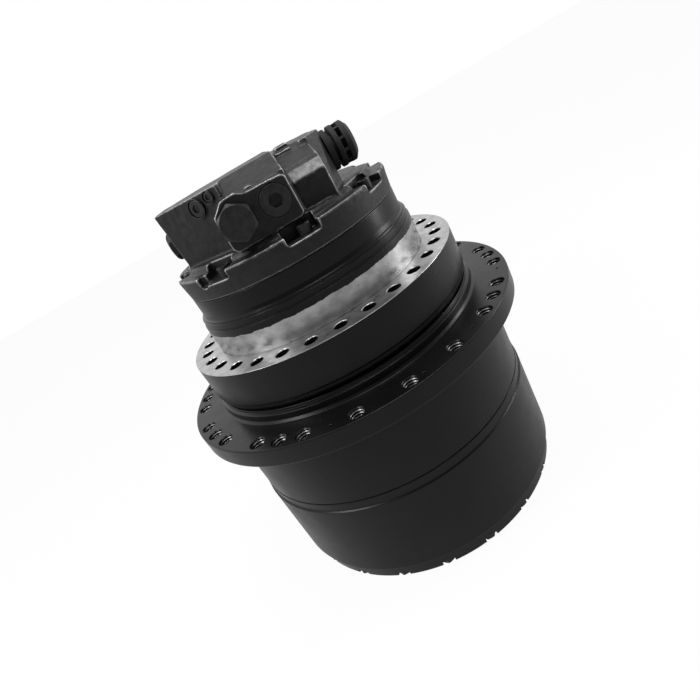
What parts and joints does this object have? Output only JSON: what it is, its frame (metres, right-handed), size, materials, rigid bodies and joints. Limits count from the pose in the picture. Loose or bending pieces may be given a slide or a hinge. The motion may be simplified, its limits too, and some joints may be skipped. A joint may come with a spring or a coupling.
{
  "type": "excavator final drive",
  "caption": "Hydraulic track motor on a two-stage planetary gear case, with a sprocket flange that turns round a fixed hub.",
  "frame": {"origin": "centre of the machined hub face that seats on the track frame", "axes": "+Z along the axis of rotation, towards the hydraulic motor; -Z towards the gear cover; -Y towards the side with the spool plug and the relief valve"},
  "size_m": [0.4719, 0.472, 0.521],
  "materials": {
    "black_paint": "gloss",
    "machined_iron": "machined",
    "plug_steel": "satin",
    "black_plastic": "matte",
    "bronze": "ground",
    "seal_rubber": "matte",
    "inner_iron": "as machined",
    "gear_steel": "ground"
  },
  "bodies": {
    "drive_frame": {"hub_casting": "machined_iron", "motor_casing": "machined_iron", "end_cover": "black_paint", "spool_plug": "plug_steel", "relief_valve": "plug_steel", "gallery_plugs": "plug_steel", "side_plug": "plug_steel", "port_plug": "black_plastic", "spool_springs": "gear_steel", "upper_bearing_inner_ring": "gear_steel", "lower_bearing_inner_ring": "gear_steel", "fixed_seal_ring": "gear_steel", "carrier_two": "inner_iron", "planet_two_pins": "gear_steel", "valve_plate": "bronze", "shaft_bearing": "gear_steel", "shaft_seal": "seal_rubber", "brake_plate": "inner_iron", "brake_springs": "gear_steel"},
    "sprocket_hub": {"sprocket_housing": "black_paint", "ring_gear": "black_paint", "gear_cover": "black_paint", "oil_plugs": "plug_steel", "upper_bearing_outer_ring": "gear_steel", "lower_bearing_outer_ring": "gear_steel", "turning_seal_ring": "gear_steel"},
    "motor_rotor": {"motor_shaft": "gear_steel", "cylinder_block": "gear_steel", "pistons": "gear_steel", "friction_disc": "gear_steel", "shaft_coupling": "gear_steel", "sun_gear_one": "gear_steel"},
    "first_carrier": {"carrier_one": "inner_iron", "planet_one_pins": "gear_steel", "sun_gear_two": "gear_steel"},
    "swash": {"swash_plate": "gear_steel"},
    "parking_brake": {"brake_piston": "inner_iron"},
    "spool": {"counterbalance_spool": "gear_steel"},
    "planet_one_a": {"planet_one_gear_a": "gear_steel"},
    "planet_one_b": {"planet_one_gear_b": "gear_steel"},
    "planet_one_c": {"planet_one_gear_c": "gear_steel"},
    "planet_two_a": {"planet_two_gear_a": "gear_steel"},
    "planet_two_b": {"planet_two_gear_b": "gear_steel"},
    "planet_two_c": {"planet_two_gear_c": "gear_steel"}
  },
  "joints": [
    {"name": "housing_spin", "type": "hinge", "parent": "drive_frame", "child": "sprocket_hub", "pos_m": [0, 0, -0.136], "axis": [0, 0, 1], "continuous": true},
    {"name": "rotor_spin", "type": "hinge", "parent": "drive_frame", "child": "motor_rotor", "pos_m": [0, 0, -0.062], "axis": [0, 0, 1], "continuous": true},
    {"name": "first_carrier_spin", "type": "hinge", "parent": "drive_frame", "child": "first_carrier", "pos_m": [0, 0, -0.268], "axis": [0, 0, 1], "continuous": true},
    {"name": "planet_one_a_spin", "type": "hinge", "parent": "first_carrier", "child": "planet_one_a", "pos_m": [0.099, 0, -0.293], "axis": [0, 0, 1], "continuous": true},
    {"name": "planet_one_b_spin", "type": "hinge", "parent": "first_carrier", "child": "planet_one_b", "pos_m": [-0.0495, 0.08574, -0.293], "axis": [0, 0, 1], "continuous": true},
    {"name": "planet_one_c_spin", "type": "hinge", "parent": "first_carrier", "child": "planet_one_c", "pos_m": [-0.0495, -0.08574, -0.293], "axis": [0, 0, 1], "continuous": true},
    {"name": "planet_two_a_spin", "type": "hinge", "parent": "drive_frame", "child": "planet_two_a", "pos_m": [0.108, 0, -0.2295], "axis": [0, 0, 1], "continuous": true},
    {"name": "planet_two_b_spin", "type": "hinge", "parent": "drive_frame", "child": "planet_two_b", "pos_m": [-0.054, 0.09353, -0.2295], "axis": [0, 0, 1], "continuous": true},
    {"name": "planet_two_c_spin", "type": "hinge", "parent": "drive_frame", "child": "planet_two_c", "pos_m": [-0.054, -0.09353, -0.2295], "axis": [0, 0, 1], "continuous": true},
    {"name": "swash_tilt", "type": "hinge", "parent": "drive_frame", "child": "swash", "pos_m": [0, 0, -0.026], "axis": [1, 0, 0], "range_deg": [-6, 0]},
    {"name": "brake_release", "type": "slide", "parent": "drive_frame", "child": "parking_brake", "axis": [0, 0, 1], "range_m": [0, 0.002], "deforming": ["brake_springs"]},
    {"name": "spool_shift", "type": "slide", "parent": "drive_frame", "child": "spool", "axis": [0, 1, 0], "range_m": [-0.008, 0.008], "stiffness_N_per_m": 2500, "deforming": ["spool_springs"]}
  ],
  "couplings": [
    {"joint": "rotor_spin", "follows": "housing_spin", "ratio": -28.7},
    {"joint": "first_carrier_spin", "follows": "housing_spin", "ratio": -3.5},
    {"joint": "planet_one_a_spin", "follows": "housing_spin", "ratio": 10.957},
    {"joint": "planet_one_b_spin", "follows": "housing_spin", "ratio": 10.957},
    {"joint": "planet_one_c_spin", "follows": "housing_spin", "ratio": 10.957},
    {"joint": "planet_two_a_spin", "follows": "housing_spin", "ratio": 2.8},
    {"joint": "planet_two_b_spin", "follows": "housing_spin", "ratio": 2.8},
    {"joint": "planet_two_c_spin", "follows": "housing_spin", "ratio": 2.8}
  ]
}
